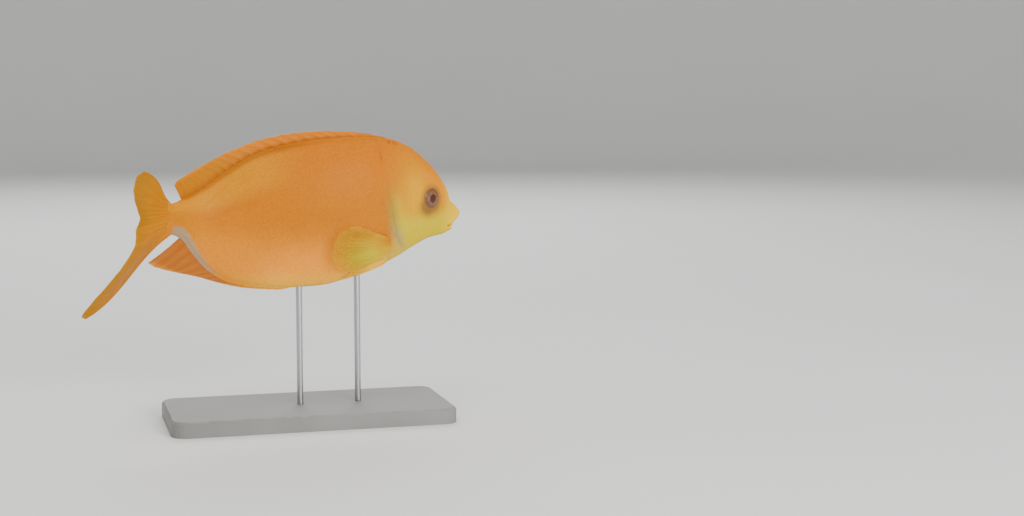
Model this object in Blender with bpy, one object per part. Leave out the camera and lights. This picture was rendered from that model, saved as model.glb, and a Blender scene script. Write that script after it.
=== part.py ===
"""Blue-spotted spinefoot, a deep-bodied reef fish, life size on a plain display stand.

It swims with its head turned left and its tail swung right and twisted. Metres, +Z up.
The head points to +X and the fish's left is +Y. The origin is the middle of the base's underside.
Sizes of the fish are shares of its standard length, which runs from the snout to the tail's root.
A place on the fish is (share of the length along its bent axis, out to the left, up).
"""

import math

import bpy
import numpy as np
from mathutils import Vector

for old in list(bpy.data.objects):
    bpy.data.objects.remove(old)

STANDARD_LENGTH = 0.200
AXIS_HEIGHT = 0.132
ROLL_DEG = 4.0
AXIS_START = (0.105, 0.022)
GAP = 0.0003
GAP_SHARE = GAP / STANDARD_LENGTH
FIN_GAP_SHARE = 1.3 * GAP_SHARE

# The way the body points at each share of its length, in degrees left of +X
HEADING = ((0.0, 21), (0.22, 20), (0.38, 9), (0.55, 0), (0.68, 1), (0.80, 9), (0.88, 21), (0.945, 36),
           (1.0, 46), (1.3, 46))

# Back and belly, as heights over the body's axis at each share of its length
BACK = ((0.0, -0.012), (0.008, 0.003), (0.036, 0.0286), (0.049, 0.0677), (0.088, 0.1204), (0.14, 0.171),
        (0.20, 0.212), (0.27, 0.238), (0.38, 0.246), (0.50, 0.240), (0.60, 0.227), (0.70, 0.200),
        (0.80, 0.144), (0.88, 0.093), (0.94, 0.068), (1.0, 0.060))
BELLY = ((0.0, -0.022), (0.012, -0.046), (0.05, -0.086), (0.11, -0.0955), (0.17, -0.117), (0.24, -0.149),
         (0.31, -0.176), (0.40, -0.204), (0.50, -0.227), (0.60, -0.231), (0.70, -0.224), (0.79, -0.205),
         (0.86, -0.164), (0.92, -0.100), (0.96, -0.052), (1.0, -0.036))
HALF_WIDTH = ((0.0, 0.010), (0.012, 0.020), (0.04, 0.027), (0.09, 0.042), (0.14, 0.054), (0.21, 0.066),
              (0.29, 0.076), (0.40, 0.083), (0.52, 0.080), (0.65, 0.067), (0.77, 0.047), (0.87, 0.029),
              (0.94, 0.019), (1.0, 0.014))
WIDEST_LEVEL = 0.50
SECTION_POWER = 1.18

# Where the head ends, as (height, share of the length): the gill cover's rear edge
GILL_EDGE = ((-0.20, 0.150), (-0.16, 0.185), (-0.12, 0.222), (-0.097, 0.244), (-0.05, 0.2715), (0.0, 0.290),
             (0.036, 0.296), (0.086, 0.300), (0.15, 0.290), (0.26, 0.262))
GILL_LIP = 0.0005
GILL_LIP_WIDTH = 0.03
STEM_START = 0.945
SECTION_POINTS = 36
HEAD_ROWS, TRUNK_ROWS, STEM_ROWS = 20, 22, 6

EYE_PLACE = (0.140, 0.0375, 0.042)
EYE_RADIUS = 0.034
EYE_HALF_THICKNESS = 0.0235
EYE_FORWARD_DEG = 12
NOSTRIL_PLACES = ((0.079, 0.044), (0.093, 0.052))
NOSTRIL_RADIUS, NOSTRIL_FORWARD_DEG = 0.0045, 25
UPPER_LIP = {"share": 0.004, "up": -0.018, "half_width": 0.024, "reach": 0.042, "drop": 0.038,
             "radius": 0.0105}
LOWER_LIP = {"share": 0.034, "up": -0.071, "half_width": 0.019, "reach": 0.018, "drop": -0.008,
             "radius": 0.0085}
MOUTH_PROFILE = ((0.060, -0.064), (-0.012, -0.026), (-0.012, -0.064))

# Fin rays: roots as shares of the length, then (root, tip's share, tip's height)
DORSAL_SPINES, DORSAL_SOFT = 13, 10
DORSAL_ROOTS = (0.275, 0.715, 0.745, 0.955)
DORSAL_TIPS = ((0.275, 0.333, 0.2480), (0.32, 0.388, 0.2610), (0.42, 0.486, 0.2685), (0.52, 0.578, 0.2640),
               (0.62, 0.685, 0.2450), (0.715, 0.780, 0.2125), (0.745, 0.812, 0.1980), (0.82, 0.885, 0.1650),
               (0.89, 0.942, 0.1390), (0.955, 0.994, 0.1210))
ANAL_SPINES, ANAL_SOFT = 7, 9
ANAL_ROOTS = (0.60, 0.765, 0.79, 0.965)
ANAL_TIPS = ((0.60, 0.653, -0.2345), (0.70, 0.755, -0.2235), (0.765, 0.816, -0.2080), (0.81, 0.862, -0.1925),
             (0.85, 0.918, -0.1745), (0.89, 0.985, -0.1560), (0.93, 1.060, -0.1335), (0.965, 1.128, -0.1090))
MEDIAN_BOW = 0.004
MEDIAN_ROWS = 6

TAIL_RAYS, TAIL_ROWS = 17, 10
TAIL_HEADING_DEG, TAIL_DROOP_DEG, TAIL_TWIST_DEG = 48.0, -0.3, 38.5
LOWER_SPREAD_DEG, UPPER_SPREAD_DEG = 42.3, 37.0
TAIL_HUB_UP = 0.012
TAIL_ROOT_UP = (-0.034, 0.058)
TAIL_LENGTHS = ((0.0, 0.1656), (0.25, 0.181), (0.5, 0.240), (0.7, 0.328), (0.82, 0.385), (0.92, 0.413),
                (1.0, 0.403))
TAIL_LEAVE, TAIL_SWEEP = 1.12, 0.57
# How far each ray's tip is cupped to the left, from the lowest ray to the highest
TAIL_CUP = ((-1.0, -0.095), (-0.75, -0.0865), (-0.4, -0.050), (0.0, 0.0), (1.0, 0.0))

PECTORAL_RAYS, PECTORAL_ROWS = 15, 7
PECTORAL_ROOT = ((0.290, -0.075), (0.300, -0.118))
PECTORAL_FAN = ((0.0, 25, 0.150), (0.15, 19, 0.182), (0.35, 10, 0.200), (0.55, 0, 0.200), (0.8, -12, 0.180),
                (1.0, -24, 0.130))
PECTORAL_OFF_DEG = (62, 24, 14)
PELVIC_RAYS, PELVIC_ROWS = 5, 7
PELVIC_ROOT = ((0.292, 172), (0.300, 150))
PELVIC_FAN = ((0.0, 0.100, 172), (0.25, 0.135, 168), (0.5, 0.145, 163), (0.75, 0.140, 157),
              (1.0, 0.112, 150))
PELVIC_OFF_DEG = (40, 3)
PECTORAL_BEND, PELVIC_BEND, PAIRED_FIN_FOOT = 0.020, 0.015, 0.0035

CREST = (0.0012, 0.0007)
MEMBRANE = (0.0007, 0.0005)
RIDGE_HALF = (0.32, 0.20)

BASE_SIZE = (0.180, 0.086, 0.010)
BASE_CORNER, BASE_BEVEL = 0.010, 0.0015
ROD_SHARES = (0.38, 0.57)
ROD_RADIUS, ROD_DEPTH = 0.002, 0.008


def through(points):
    """A function for the smooth curve through (place, value) points, which never overshoots them."""
    place, value = np.array(points, float).T
    step = np.diff(place)
    slope = np.diff(value) / step
    same_way = slope[1:] * slope[:-1] > 0
    total = np.where(same_way, slope[1:] + slope[:-1], 1.0)
    inner = np.where(same_way, 2 * slope[1:] * slope[:-1] / total, 0.0)
    tangent = np.concatenate([slope[:1], inner, slope[-1:]])

    def curve(x):
        x = np.clip(np.asarray(x, float), place[0], place[-1])
        i = np.clip(np.searchsorted(place, x, side="right") - 1, 0, len(step) - 1)
        t = (x - place[i]) / step[i]
        rise = value[i + 1] - value[i]
        start, end = tangent[i] * step[i], tangent[i + 1] * step[i]
        return value[i] + t * (start + t * (3 * rise - 2 * start - end + t * (start + end - 2 * rise)))

    return curve


heading = through(HEADING)
back = through(BACK)
belly = through(BELLY)
half_width = through(HALF_WIDTH)
gill_edge = through(GILL_EDGE)
tail_length = through(TAIL_LENGTHS)
tail_cup = through(TAIL_CUP)

AXIS_STEPS = np.linspace(0, 1.3, 521)
AXIS_WAY = np.radians(heading(AXIS_STEPS))
AXIS_STEP = STANDARD_LENGTH * (AXIS_STEPS[1] - AXIS_STEPS[0])
AXIS_X = AXIS_START[0] - np.concatenate([[0], np.cumsum(np.cos(AXIS_WAY[1:]) * AXIS_STEP)])
AXIS_Y = AXIS_START[1] - np.concatenate([[0], np.cumsum(np.sin(AXIS_WAY[1:]) * AXIS_STEP)])


def in_body(share, side, up):
    """The point at a place on the fish, in metres."""
    share, side, up = np.broadcast_arrays(*(np.asarray(v, float) for v in (share, side, up)))
    way = np.radians(heading(np.maximum(share, 0)))
    ahead = STANDARD_LENGTH * np.maximum(-share, 0)
    x = np.interp(share, AXIS_STEPS, AXIS_X) + ahead * np.cos(way) - side * STANDARD_LENGTH * np.sin(way)
    y = np.interp(share, AXIS_STEPS, AXIS_Y) + ahead * np.sin(way) + side * STANDARD_LENGTH * np.cos(way)
    return np.stack([x, y, up * STANDARD_LENGTH], axis=-1)


def section(share, turn, swell=0.0):
    """The skin at that share of the length and turn round it from the back's ridge, as side and up."""
    top, bottom = back(share), belly(share)
    middle = bottom + WIDEST_LEVEL * (top - bottom)
    rise = np.where(np.cos(turn) > 0, top - middle, middle - bottom)
    side = (half_width(share) + swell) * np.sign(np.sin(turn)) * np.abs(np.sin(turn)) ** SECTION_POWER
    return side, middle + rise * np.cos(turn)


def skin_off(share, turn, lift):
    """A point lifted off the left flank's skin, at a turn from the back's ridge, as side and up."""
    step = 0.01
    side, up = section(share, turn)
    ahead_side, ahead_up = section(share, turn + step)
    behind_side, behind_up = section(share, turn - step)
    slope_side, slope_up = ahead_side - behind_side, ahead_up - behind_up
    size = np.hypot(slope_side, slope_up)
    return side - lift * slope_up / size, up + lift * slope_side / size


def turn_at(share, up):
    """The turn round the left flank at which the skin is at that height."""
    top, bottom = back(share), belly(share)
    middle = bottom + WIDEST_LEVEL * (top - bottom)
    rise = np.where(up > middle, top - middle, middle - bottom)
    return np.arccos(np.clip((up - middle) / rise, -1, 1))


def edge_share(turn):
    """The share of the length at which the skin line at that turn meets the gill cover's rear edge."""
    share = np.full(np.shape(turn), 0.25)
    for _ in range(30):
        share = 0.5 * share + 0.5 * gill_edge(section(share, turn)[1])
    return share


def gill_lip(share, turn):
    """How far the gill cover stands off the flank towards its rear edge."""
    near = np.clip(1 - (edge_share(turn) - share) / GILL_LIP_WIDTH, 0, 1)
    return GILL_LIP / STANDARD_LENGTH * near ** 2 * np.abs(np.sin(turn))


def plain_finish(name, colour, roughness, metallic=0.0):
    material = bpy.data.materials.new(name)
    material.use_nodes = True
    shader = material.node_tree.nodes["Principled BSDF"]
    shader.inputs["Base Color"].default_value = (*colour, 1)
    shader.inputs["Roughness"].default_value = roughness
    shader.inputs["Metallic"].default_value = metallic
    return material


def volume_of(points, faces):
    a, b, c = (points[faces[:, i]] for i in range(3))
    return np.einsum("ij,ij->i", a, np.cross(b, c)).sum() / 6


def split(quads):
    """Each four-cornered face as two triangles, all cut along the same diagonal."""
    quads = np.asarray(quads)
    return np.concatenate([quads[:, [0, 1, 2]], quads[:, [0, 2, 3]]])


def alike(faces):
    """The same triangles, all wound the way of the first."""
    owners = {}
    for number, face in enumerate(faces.tolist()):
        for start, end in zip(face, face[1:] + face[:1]):
            owners.setdefault(frozenset((start, end)), []).append((number, (start, end)))
    turned = {0: False}
    waiting = [0]
    while waiting:
        number = waiting.pop()
        face = faces[number].tolist()
        for start, end in zip(face, face[1:] + face[:1]):
            for other, edge in owners[frozenset((start, end))]:
                if other not in turned:
                    turned[other] = turned[number] ^ (edge == (start, end))
                    waiting.append(other)
    order = np.array([turned[number] for number in range(len(faces))])
    return np.where(order[:, None], faces[:, ::-1], faces)


def solid(name, points, faces, material, parent=None, sharp_deg=40):
    """One object of one closed body, its faces turned to point outwards."""
    points, faces = np.asarray(points, float), alike(np.asarray(faces))
    if volume_of(points, faces) < 0:
        faces = faces[:, ::-1]
    mesh = bpy.data.meshes.new(name)
    mesh.from_pydata(points.tolist(), [], faces.tolist())
    mesh.materials.append(material)
    mesh.shade_smooth()
    mesh.set_sharp_from_angle(angle=math.radians(sharp_deg))
    thing = bpy.data.objects.new(name, mesh)
    bpy.context.scene.collection.objects.link(thing)
    thing.parent = parent
    return thing


def ring_faces(rings, around):
    """The triangles between successive rings of points."""
    ring, place = np.meshgrid(np.arange(rings - 1), np.arange(around), indexing="ij")
    after = (place + 1) % around
    quads = np.stack([ring * around + place, ring * around + after,
                      (ring + 1) * around + after, (ring + 1) * around + place], axis=-1)
    return split(quads.reshape(-1, 4))


def across_faces(first, around):
    """Triangles that close a ring of the body, straight across from its left flank to its right."""
    half = around // 2
    k = np.arange(1, half - 1)
    middle = split(np.stack([k, k + 1, around - k - 1, around - k], axis=-1))
    ends = [[0, 1, around - 1], [half - 1, half, half + 1]]
    return first + np.concatenate([ends, middle])


def body_length(name, start, end, rows, material, parent, swell=None, from_snout=False):
    """A length of the body between two shares that may differ from turn to turn, closed at both ends."""
    turn = np.linspace(0, 2 * math.pi, SECTION_POINTS, endpoint=False)
    pace = np.linspace(0, 1, rows)[:, None]
    if from_snout:
        pace = pace[1:] ** 1.6
    share = start + (end - start) * pace
    side, up = section(share, turn, swell(share, turn) if swell else 0.0)
    points = in_body(share, side, up).reshape(-1, 3)
    rings = len(pace)
    faces = [ring_faces(rings, SECTION_POINTS), across_faces((rings - 1) * SECTION_POINTS, SECTION_POINTS)]
    if from_snout:
        k = np.arange(SECTION_POINTS)
        faces.append(np.stack([k, (k + 1) % SECTION_POINTS, np.full_like(k, len(points))], axis=-1))
        points = np.concatenate([points, in_body(0, 0, (BACK[0][1] + BELLY[0][1]) / 2)[None]])
    else:
        faces.append(across_faces(0, SECTION_POINTS))
    return solid(name, points, np.concatenate(faces), material, parent)


def stacked(name, rings, material, parent=None):
    """A solid through convex rings of points, one after the other, closed flat at both ends."""
    rings = np.asarray(rings)
    count, around = rings.shape[:2]
    k = np.arange(1, around - 1)
    cap = np.stack([0 * k, k, k + 1], axis=-1)
    faces = np.concatenate([ring_faces(count, around), cap, cap + (count - 1) * around])
    return solid(name, rings.reshape(-1, 3), faces, material, parent)


def ball(name, place, radii, forward_deg, material, parent, rings=9, around=20):
    """A ball at a place on the fish, flattened to the side and turned a little forward."""
    tilt = np.linspace(0.08, math.pi - 0.08, rings)[:, None]
    turn = np.linspace(0, 2 * math.pi, around, endpoint=False)
    along = np.sin(tilt) * np.cos(turn) * radii[0]
    up = np.sin(tilt) * np.sin(turn) * radii[2]
    out = (np.cos(tilt) + 0 * turn) * radii[1]
    lean = math.radians(forward_deg)
    share = place[0] + along * math.cos(lean) - out * math.sin(lean)
    side = abs(place[1]) + along * math.sin(lean) + out * math.cos(lean)
    return stacked(name, in_body(share, np.sign(place[1]) * side, place[2] + up), material, parent)


def lip(name, size, material, parent, beads=15, around=8):
    """A round bead along a U, from one corner of the mouth round the front to the other."""
    swing = np.linspace(-1, 1, beads)[:, None]
    turn = np.linspace(0, 2 * math.pi, around, endpoint=False)
    radius = size["radius"] * (1 - 0.45 * swing ** 2)
    bow = 1 - np.cos(swing * math.pi / 2)
    share = size["share"] + size["reach"] * bow + radius * np.cos(turn) * np.cos(swing * 1.2)
    side = size["half_width"] * np.sin(swing * math.pi / 2) - radius * np.cos(turn) * np.sin(swing * 1.2)
    up = size["up"] - size["drop"] * bow + radius * np.sin(turn)
    return stacked(name, in_body(share, side, up), material, parent)


def mouth_slit(material, parent):
    """The wedge between the lips, thin at the mouth's corner and open at the front."""
    rings = [[in_body(share, side, up) for share, up in MOUTH_PROFILE] for side in (-0.06, 0.06)]
    return stacked("slit", rings, material, parent)


def keep_largest(mesh):
    """The mesh's points and triangles, without any body but the one of greatest volume."""
    mesh.calc_loop_triangles()
    points = np.array([vertex.co for vertex in mesh.vertices], float)
    faces = np.array([triangle.vertices for triangle in mesh.loop_triangles])
    body = np.arange(len(points))
    while True:
        lower = body.copy()
        for i in range(3):
            np.minimum.at(lower, faces[:, i], body[faces].min(axis=1))
        if (lower == body).all():
            break
        body = lower
    owner = body[faces[:, 0]]
    largest = max(np.unique(owner), key=lambda name: abs(volume_of(points, faces[owner == name])))
    used, index = np.unique(faces[owner == largest], return_inverse=True)
    return points[used], index.reshape(-1, 3)


def carve(thing, operation, others):
    """Joins the others to the thing, or cuts them from it, in one Boolean that is applied at once."""
    group = bpy.data.collections.new("others")
    for other in others:
        group.objects.link(other)
    boolean = thing.modifiers.new("carve", "BOOLEAN")
    boolean.operation = operation
    boolean.operand_type = "COLLECTION"
    boolean.collection = group
    boolean.solver = "EXACT"
    bpy.context.view_layer.update()
    made = bpy.data.meshes.new_from_object(thing.evaluated_get(bpy.context.evaluated_depsgraph_get()))
    points, faces = keep_largest(made)
    name, material, parent = thing.name, thing.data.materials[0], thing.parent
    for other in [thing, *others]:
        bpy.data.objects.remove(other)
    bpy.data.collections.remove(group)
    return solid(name, points, faces, material, parent)


def fin(name, surface, rays, rows, spines, material, parent, mirror=False):
    """A closed fin: a membrane from root to tip, with each ray a ridge raised in both of its faces.

    The surface gives the point at a ray's number, which may lie between two rays, and a share of the
    way from root to tip. Between spines the membrane's edge is cut back further than between soft rays.
    """
    along = np.linspace(0, 1, rows)
    half = np.interp(along, (0, 1), RIDGE_HALF)
    crest = np.interp(along, (0, 1), CREST)
    membrane = np.interp(along, (0, 1), MEMBRANE)
    number, thickness, reach = [], [], []
    for ray in range(rays):
        notch = 0.16 if ray + 1 < spines else 0.02
        columns = [(0 * half, crest, 1.0)]
        if ray:
            columns.insert(0, (-half, membrane, 1 - notch / 4))
        if ray + 1 < rays:
            columns += [(half, membrane, 1 - notch / 4), (0.5 + 0 * half, membrane, 1 - notch)]
        for place, thick, end in columns:
            number.append(ray + place)
            thickness.append(thick)
            reach.append(end * along)
    middle = surface(np.array(number), np.array(reach))
    if mirror:
        middle = middle[::-1]
    thickness = np.array(thickness)
    normal = np.cross(np.gradient(middle, axis=0), np.gradient(middle, axis=1))
    normal /= np.linalg.norm(normal, axis=2, keepdims=True)
    offset = normal * (thickness[::-1] if mirror else thickness)[..., None] / 2
    points = np.concatenate([(middle + offset).reshape(-1, 3), (middle - offset).reshape(-1, 3)])
    columns, far = len(thickness), thickness.size
    column, row = np.meshgrid(np.arange(columns - 1), np.arange(rows - 1), indexing="ij")
    a = (column * rows + row).ravel()
    face = split(np.stack([a, a + rows, a + rows + 1, a + 1], axis=-1))
    last = (columns - 1) * rows
    rim = np.concatenate([np.arange(0, last, rows), np.arange(last, last + rows - 1),
                          np.arange(last + rows - 1, rows - 1, -rows), np.arange(rows - 1, 0, -1)])
    after = np.roll(rim, -1)
    edge = split(np.stack([rim, after, after + far, rim + far], axis=-1))
    return solid(name, points, np.concatenate([face, face + far, edge]), material, parent, 60)


def median_surface(roots, counts, tips, edge, away):
    """The surface of a fin in the middle plane, rooted on the back or the belly."""
    spines, soft = counts
    tip_share = through([(root, share) for root, share, _ in tips])
    tip_up = through([(root, up) for root, _, up in tips])

    def surface(number, along):
        root = np.interp(number, (0, spines - 1, spines, spines + soft - 1), roots)
        root_up = edge(root) + away * FIN_GAP_SHARE
        bow = away * MEDIAN_BOW * 4 * along * (1 - along)
        up = root_up + (tip_up(root) - root_up) * along + bow
        return in_body(root + (tip_share(root) - root) * along, 0, up)

    return surface


def tail_directions():
    """Unit vectors of the spread tail: backward, and up from its lower lobe to its upper."""
    turn, droop, twist = (math.radians(v) for v in (TAIL_HEADING_DEG, TAIL_DROOP_DEG, TAIL_TWIST_DEG))
    back_way = np.array([-math.cos(turn), -math.sin(turn), 0])
    way = math.cos(droop) * back_way - np.array([0, 0, math.sin(droop)])
    level = math.sin(droop) * back_way + np.array([0, 0, math.cos(droop)])
    left = np.cross(level, -way)
    return way, math.cos(twist) * level - math.sin(twist) * left


def tail_surface(number, along):
    """Rays that leave the stem's rear face, bend into the tail's twisted plane and sweep back."""
    across = 2 * number / (TAIL_RAYS - 1) - 1
    angle = np.radians(np.where(across < 0, LOWER_SPREAD_DEG, UPPER_SPREAD_DEG)) * across
    root = in_body(1 + GAP_SHARE, 0, np.interp(across, (-1, 1), TAIL_ROOT_UP))
    hub = in_body(1, 0, TAIL_HUB_UP)
    stem_way = (in_body(1.1, 0, 0) - in_body(1, 0, 0)) / (0.1 * STANDARD_LENGTH)
    way, up = tail_directions()
    length, t = STANDARD_LENGTH * tail_length(np.abs(across))[..., None], along[..., None]
    cup = STANDARD_LENGTH * tail_cup(across)[..., None] * np.cross(way, up)
    tip = hub + length * toward(angle, way, up) + cup
    near = root + 0.10 * length * stem_way + 0.26 * length * toward(TAIL_LEAVE * angle, way, up)
    beyond = tip - 0.36 * length * toward(TAIL_SWEEP * angle, way, up)
    return (1 - t) ** 3 * root + 3 * t * (1 - t) ** 2 * near + 3 * t ** 2 * (1 - t) * beyond + t ** 3 * tip


def toward(angle, way, up):
    """The direction at an angle up from the way, one for each value of the angle."""
    return np.cos(angle)[..., None] * way + np.sin(angle)[..., None] * up


def bent_over(out, bend, first_off, last_off):
    """How far off the flank, and how far back, a ray is at a length, when it bends over near its root."""
    bent = np.minimum(out, bend)
    first = bent - bent ** 2 / (2 * bend)
    last = bent ** 2 / (2 * bend) + np.maximum(out - bend, 0)
    off = PAIRED_FIN_FOOT + math.sin(first_off) * first + np.sin(last_off) * last
    return off, math.cos(first_off) * first + np.cos(last_off) * last


def pectoral_surface(side_sign):
    """Rays fanned from a short root on the flank, which bend back to lie a little off the body."""
    angle_at = through([(place, angle) for place, angle, _ in PECTORAL_FAN])
    length_at = through([(place, length) for place, _, length in PECTORAL_FAN])
    root_off, upper_off, lower_off = np.radians(PECTORAL_OFF_DEG)
    (top_share, top_up), (low_share, low_up) = PECTORAL_ROOT

    def surface(number, along):
        place = number / (PECTORAL_RAYS - 1)
        angle = np.radians(angle_at(place))
        end_off = upper_off + (lower_off - upper_off) * place
        lift, back_way = bent_over(length_at(place) * along, PECTORAL_BEND, root_off, end_off)
        share = top_share + (low_share - top_share) * place + back_way * np.cos(angle)
        up = top_up + (low_up - top_up) * place + back_way * np.sin(angle)
        side, height = skin_off(share, turn_at(share, up), lift)
        return in_body(share, side_sign * side, height)

    return surface


def pelvic_surface(side_sign):
    """Rays from a short root beside the belly's keel, which lie back along it."""
    length_at = through([(place, length) for place, length, _ in PELVIC_FAN])
    turn_end = through([(place, turn) for place, _, turn in PELVIC_FAN])
    root_off, end_off = np.radians(PELVIC_OFF_DEG)
    (first_share, first_turn), (last_share, last_turn) = PELVIC_ROOT

    def surface(number, along):
        place = number / (PELVIC_RAYS - 1)
        out = length_at(place) * along
        lift, _ = bent_over(out, PELVIC_BEND, root_off, end_off)
        share = first_share + (last_share - first_share) * place + out
        root_turn = first_turn + (last_turn - first_turn) * place
        side, up = skin_off(share, np.radians(root_turn * (1 - along) + turn_end(place) * along), lift)
        return in_body(share, side_sign * side, up)

    return surface


def circle(x, y, z, radius, points=24):
    turn = np.linspace(0, 2 * math.pi, points, endpoint=False)
    return np.stack([x + radius * np.cos(turn), y + radius * np.sin(turn), z + 0 * turn], axis=-1)


def rounded_plate(inset, z, points=7):
    """The base's outline, a rectangle with round corners, drawn in by the inset."""
    quarter = np.repeat(np.arange(4), points)
    turn = np.tile(np.linspace(0, math.pi / 2, points), 4) + quarter * math.pi / 2
    corner_x = BASE_SIZE[0] / 2 - BASE_CORNER
    corner_y = BASE_SIZE[1] / 2 - BASE_CORNER
    x = np.where(np.isin(quarter, (0, 3)), corner_x, -corner_x) + (BASE_CORNER - inset) * np.cos(turn)
    y = np.where(quarter < 2, corner_y, -corner_y) + (BASE_CORNER - inset) * np.sin(turn)
    return np.stack([x, y, z + 0 * turn], axis=-1)


skin = plain_finish("skin", (0.80, 0.36, 0.03), 0.45)
fin_finish = plain_finish("fin", (0.55, 0.28, 0.03), 0.5)
eye_finish = plain_finish("eye", (0.12, 0.05, 0.03), 0.15)
base_finish = plain_finish("base_paint", (0.72, 0.72, 0.70), 0.6)
rod_finish = plain_finish("rod_steel", (0.62, 0.62, 0.63), 0.3, 1.0)

fish = bpy.data.objects.new("fish", None)
bpy.context.scene.collection.objects.link(fish)
fish.location = (0, 0, AXIS_HEIGHT)
fish.rotation_euler = (math.radians(ROLL_DEG), 0, 0)
bpy.context.view_layer.update()

turns = np.linspace(0, 2 * math.pi, SECTION_POINTS, endpoint=False)
gill = edge_share(turns)
head = body_length("head", 0.0, gill, HEAD_ROWS, skin, fish, gill_lip, from_snout=True)
cuts = [mouth_slit(skin, fish)]
for side in (1, -1):
    place = (EYE_PLACE[0], side * EYE_PLACE[1], EYE_PLACE[2])
    socket = np.array([EYE_RADIUS, EYE_HALF_THICKNESS, EYE_RADIUS]) + GAP_SHARE
    cuts.append(ball(f"socket{side}", place, socket, EYE_FORWARD_DEG, skin, fish))
    for share, up in NOSTRIL_PLACES:
        out = section(share, turn_at(share, up))[0]
        cuts.append(ball(f"nostril{side}{share}", (share, side * out, up), [NOSTRIL_RADIUS] * 3,
                         NOSTRIL_FORWARD_DEG, skin, fish, 7, 12))
head = carve(head, "DIFFERENCE", cuts)
lips = [lip("upper_lip", UPPER_LIP, skin, fish), lip("lower_lip", LOWER_LIP, skin, fish)]
head = carve(head, "UNION", lips)
for name, side in (("eye_left", 1), ("eye_right", -1)):
    ball(name, (EYE_PLACE[0], side * EYE_PLACE[1], EYE_PLACE[2]),
         (EYE_RADIUS, EYE_HALF_THICKNESS, EYE_RADIUS), EYE_FORWARD_DEG, eye_finish, fish)

trunk = body_length("trunk", gill + GAP_SHARE, STEM_START - GAP_SHARE, TRUNK_ROWS, skin, fish)
body_length("tail_stem", STEM_START, 1.0, STEM_ROWS, skin, fish)

dorsal = median_surface(DORSAL_ROOTS, (DORSAL_SPINES, DORSAL_SOFT), DORSAL_TIPS, back, 1)
fin("dorsal_fin", dorsal, DORSAL_SPINES + DORSAL_SOFT, MEDIAN_ROWS, DORSAL_SPINES, fin_finish, fish)
anal = median_surface(ANAL_ROOTS, (ANAL_SPINES, ANAL_SOFT), ANAL_TIPS, belly, -1)
fin("anal_fin", anal, ANAL_SPINES + ANAL_SOFT, MEDIAN_ROWS, ANAL_SPINES, fin_finish, fish)
fin("caudal_fin", tail_surface, TAIL_RAYS, TAIL_ROWS, 0, fin_finish, fish)
for name, side in (("left", 1), ("right", -1)):
    fin(f"pectoral_fin_{name}", pectoral_surface(side), PECTORAL_RAYS, PECTORAL_ROWS, 0, fin_finish, fish,
        side < 0)
    fin(f"pelvic_fin_{name}", pelvic_surface(side), PELVIC_RAYS, PELVIC_ROWS, 0, fin_finish, fish, side < 0)

base_top = BASE_SIZE[2]
stacked("stand_base", [rounded_plate(0, 0), rounded_plate(0, base_top - BASE_BEVEL),
                       rounded_plate(BASE_BEVEL, base_top)], base_finish)
holes = []
for name, share in zip(("front", "back"), ROD_SHARES):
    x, y, keel = fish.matrix_world @ Vector(in_body(share, 0, belly(share)))
    top = keel + ROD_DEPTH
    rod = [circle(x, y, z, ROD_RADIUS) for z in (base_top + GAP, top - GAP)]
    stacked(f"stand_rod_{name}", rod, rod_finish)
    hole = [circle(x, y, z, ROD_RADIUS + GAP) for z in (keel - 0.01, top)]
    holes.append(stacked(f"hole_{name}", hole, rod_finish))
carve(trunk, "DIFFERENCE", holes)
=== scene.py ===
"""Looks of the blue-spotted spinefoot on its plain display stand, in metres, +Z up.

A place on the fish is (share of the standard length along its bent axis, out to the left, up), and
the last two are shares of that length too.
"""
import math

import bpy
import numpy as np
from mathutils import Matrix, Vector


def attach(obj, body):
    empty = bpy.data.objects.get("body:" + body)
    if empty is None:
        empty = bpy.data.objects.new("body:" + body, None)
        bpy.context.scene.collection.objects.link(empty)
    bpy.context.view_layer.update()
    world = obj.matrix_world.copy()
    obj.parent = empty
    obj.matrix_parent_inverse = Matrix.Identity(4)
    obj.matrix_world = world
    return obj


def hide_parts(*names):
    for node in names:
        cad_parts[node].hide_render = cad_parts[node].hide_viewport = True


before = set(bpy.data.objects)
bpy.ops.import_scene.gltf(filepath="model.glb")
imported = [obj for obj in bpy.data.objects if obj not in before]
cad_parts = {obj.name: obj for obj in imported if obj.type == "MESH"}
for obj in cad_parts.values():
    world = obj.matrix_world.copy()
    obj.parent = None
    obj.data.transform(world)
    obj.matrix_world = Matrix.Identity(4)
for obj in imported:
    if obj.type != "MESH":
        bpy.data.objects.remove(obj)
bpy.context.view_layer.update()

LENGTH, LENGTH_MM = 0.2, 200
AXIS_HEIGHT = 0.132
ROLL_DEG = 4
AXIS_START = (0.105, 0.022)

VIEW_AZIMUTH_DEG, VIEW_ELEVATION_DEG = -16, 6
VIEW_DISTANCE, VIEW_LENS = 1.1, 60.7
VIEW_AIM = (0.1257, -0.0391, 0.1044)

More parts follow.
